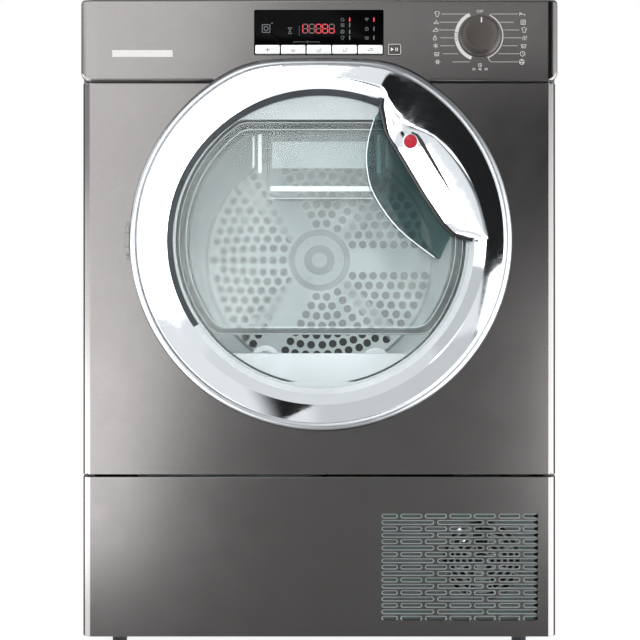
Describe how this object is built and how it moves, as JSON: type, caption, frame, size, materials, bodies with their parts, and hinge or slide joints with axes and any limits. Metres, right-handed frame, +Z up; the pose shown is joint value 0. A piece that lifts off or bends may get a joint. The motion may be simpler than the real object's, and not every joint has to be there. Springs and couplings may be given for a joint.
{
  "type": "tumble dryer",
  "caption": "Built-in heat pump tumble dryer with a round chrome-ringed glass door, a control fascia and a grilled plinth.",
  "frame": {"origin": "centre of the footprint at floor level, under the feet", "axes": "+Z up, +X to the right seen from the front, +Y to the rear"},
  "size_m": [0.596, 0.57, 0.82],
  "materials": {
    "graphite_paint": "satin graphite lacquer with a soft metallic sheen",
    "coated_steel": "satin coated steel sheet",
    "galvanised_steel": "galvanised sheet, dull spangle",
    "plated_steel": "zinc plated steel",
    "drum_steel": "bright stainless steel, fine grain",
    "cast_metal": "black enamel",
    "copper_tube": "drawn copper tube",
    "fin_aluminium": "thin pressed fins",
    "chrome_plate": "mirror chrome plating",
    "grey_plastic": "light grey moulded plastic",
    "white_plastic": "off-white moulded plastic",
    "dark_plastic": "black moulded plastic",
    "knob_plastic": "dark grey-brown satin plastic",
    "key_silver": "silver-white satin plastic",
    "display_black": "black gloss window",
    "circuit_board": "green board",
    "dark_rubber": "black rubber",
    "grey_rubber": "grey rubber",
    "clear_glass": "clear, faintly green",
    "clear_tank": "clear moulded, faintly green"
  },
  "bodies": {
    "cabinet": {"base_tray": "dark_plastic", "left_side_panel": "coated_steel", "right_side_panel": "coated_steel", "rear_panel": "galvanised_steel", "top_cover": "graphite_paint", "front_panel": "graphite_paint", "rear_air_duct": "dark_plastic", "bearing_housing": "galvanised_steel", "power_inlet": "dark_plastic", "front_bulkhead": "grey_plastic", "mouth_liner": "grey_plastic", "lint_duct": "grey_plastic", "door_seal": "grey_rubber", "hinge_bracket": "plated_steel", "fascia": "graphite_paint", "display_window": "display_black", "control_board": "circuit_board", "drum_belt": "dark_rubber", "motor_body": "cast_metal", "process_fan_housing": "grey_plastic", "heat_exchanger_case": "grey_plastic", "evaporator": "fin_aluminium", "condenser": "fin_aluminium", "compressor": "cast_metal", "refrigerant_pipe": "copper_tube", "condensate_pump": "white_plastic", "drain_hose": "dark_rubber", "fan_guard": "grey_plastic"},
    "drum": {"drum_shell": "drum_steel", "drum_rear_wall": "drum_steel", "lifter_1": "grey_plastic", "lifter_2": "grey_plastic", "lifter_3": "grey_plastic"},
    "front_roller_left": {"roller_left": "dark_rubber"},
    "front_roller_right": {"roller_right": "dark_rubber"},
    "motor_rotor": {"motor_shaft": "plated_steel", "process_fan": "dark_plastic"},
    "tensioner": {"tensioner_arm": "galvanised_steel"},
    "idler": {"idler_pulley": "dark_plastic"},
    "fan_wheel": {"cooling_fan": "dark_plastic"},
    "door": {"door_ring": "chrome_plate", "door_frame": "grey_plastic", "door_glass": "clear_glass", "door_trim": "white_plastic", "hinge_leaf": "plated_steel", "latch_hook": "plated_steel"},
    "tank": {"water_tank": "clear_tank"},
    "filter": {"lint_filter": "grey_plastic"},
    "plinth": {"plinth_panel": "graphite_paint"},
    "knob": {"program_knob": "knob_plastic"},
    "start_button": {"start_key": "knob_plastic"},
    "button_1": {"key_1": "key_silver"},
    "button_2": {"key_2": "key_silver"},
    "button_3": {"key_3": "key_silver"},
    "button_4": {"key_4": "key_silver"},
    "button_5": {"key_5": "key_silver"},
    "foot_front_left": {"foot_front_left": "dark_rubber"},
    "foot_front_right": {"foot_front_right": "dark_rubber"},
    "foot_rear_left": {"foot_rear_left": "dark_rubber"},
    "foot_rear_right": {"foot_rear_right": "dark_rubber"}
  },
  "joints": [
    {"name": "drum_spin", "type": "hinge", "parent": "cabinet", "child": "drum", "pos_m": [0, 0, 0.513], "axis": [0, 1, 0], "continuous": true},
    {"name": "roller_left_spin", "type": "hinge", "parent": "cabinet", "child": "front_roller_left", "pos_m": [-0.175, -0.16, 0.26283], "axis": [0, 1, 0], "continuous": true},
    {"name": "roller_right_spin", "type": "hinge", "parent": "cabinet", "child": "front_roller_right", "pos_m": [0.175, -0.16, 0.26283], "axis": [0, 1, 0], "continuous": true},
    {"name": "motor_spin", "type": "hinge", "parent": "cabinet", "child": "motor_rotor", "pos_m": [-0.15, 0.15, 0.13], "axis": [0, 1, 0], "continuous": true},
    {"name": "tensioner_swing", "type": "hinge", "parent": "cabinet", "child": "tensioner", "pos_m": [-0.104, 0.08, 0.1565], "axis": [0, -1, 0], "range_deg": [0, 12], "stiffness_Nm_per_rad": 4, "springref_deg": -20.05},
    {"name": "idler_spin", "type": "hinge", "parent": "tensioner", "child": "idler", "pos_m": [-0.06, 0.071, 0.18], "axis": [0, 1, 0], "continuous": true},
    {"name": "cooling_fan_spin", "type": "hinge", "parent": "cabinet", "child": "fan_wheel", "pos_m": [0.205, -0.212, 0.118], "axis": [0, 1, 0], "continuous": true},
    {"name": "door_swing", "type": "hinge", "parent": "cabinet", "child": "door", "pos_m": [-0.238, -0.266, 0.5194], "axis": [0, 0, -1], "range_deg": [0, 150]},
    {"name": "tank_slide", "type": "slide", "parent": "door", "child": "tank", "axis": [0, 1, 0], "range_m": [0, 0.12]},
    {"name": "filter_lift", "type": "slide", "parent": "cabinet", "child": "filter", "axis": [0, 0, 1], "range_m": [0, 0.1]},
    {"name": "plinth_release", "type": "slide", "parent": "cabinet", "child": "plinth", "axis": [0, -1, 0], "range_m": [0, 0.15]},
    {"name": "knob_turn", "type": "hinge", "parent": "cabinet", "child": "knob", "pos_m": [0.2003, -0.265, 0.7743], "axis": [0, 1, 0], "continuous": true},
    {"name": "key_1_press", "type": "slide", "parent": "cabinet", "child": "button_1", "axis": [0, 1, 0], "range_m": [0, 0.0015], "stiffness_N_per_m": 300, "springref_m": -0.002},
    {"name": "key_2_press", "type": "slide", "parent": "cabinet", "child": "button_2", "axis": [0, 1, 0], "range_m": [0, 0.0015], "stiffness_N_per_m": 300, "springref_m": -0.002},
    {"name": "key_3_press", "type": "slide", "parent": "cabinet", "child": "button_3", "axis": [0, 1, 0], "range_m": [0, 0.0015], "stiffness_N_per_m": 300, "springref_m": -0.002},
    {"name": "key_4_press", "type": "slide", "parent": "cabinet", "child": "button_4", "axis": [0, 1, 0], "range_m": [0, 0.0015], "stiffness_N_per_m": 300, "springref_m": -0.002},
    {"name": "key_5_press", "type": "slide", "parent": "cabinet", "child": "button_5", "axis": [0, 1, 0], "range_m": [0, 0.0015], "stiffness_N_per_m": 300, "springref_m": -0.002},
    {"name": "start_key_press", "type": "slide", "parent": "cabinet", "child": "start_button", "axis": [0, 1, 0], "range_m": [0, 0.0015], "stiffness_N_per_m": 300, "springref_m": -0.002},
    {"name": "foot_front_left_adjust", "type": "slide", "parent": "cabinet", "child": "foot_front_left", "axis": [0, 0, -1], "range_m": [0, 0.035]},
    {"name": "foot_front_right_adjust", "type": "slide", "parent": "cabinet", "child": "foot_front_right", "axis": [0, 0, -1], "range_m": [0, 0.035]},
    {"name": "foot_rear_left_adjust", "type": "slide", "parent": "cabinet", "child": "foot_rear_left", "axis": [0, 0, -1], "range_m": [0, 0.035]},
    {"name": "foot_rear_right_adjust", "type": "slide", "parent": "cabinet", "child": "foot_rear_right", "axis": [0, 0, -1], "range_m": [0, 0.035]}
  ],
  "couplings": [
    {"joint": "roller_left_spin", "follows": "drum_spin", "ratio": -11.2},
    {"joint": "roller_right_spin", "follows": "drum_spin", "ratio": -11.2},
    {"joint": "motor_spin", "follows": "drum_spin", "ratio": 23.333},
    {"joint": "idler_spin", "follows": "drum_spin", "ratio": 14}
  ]
}
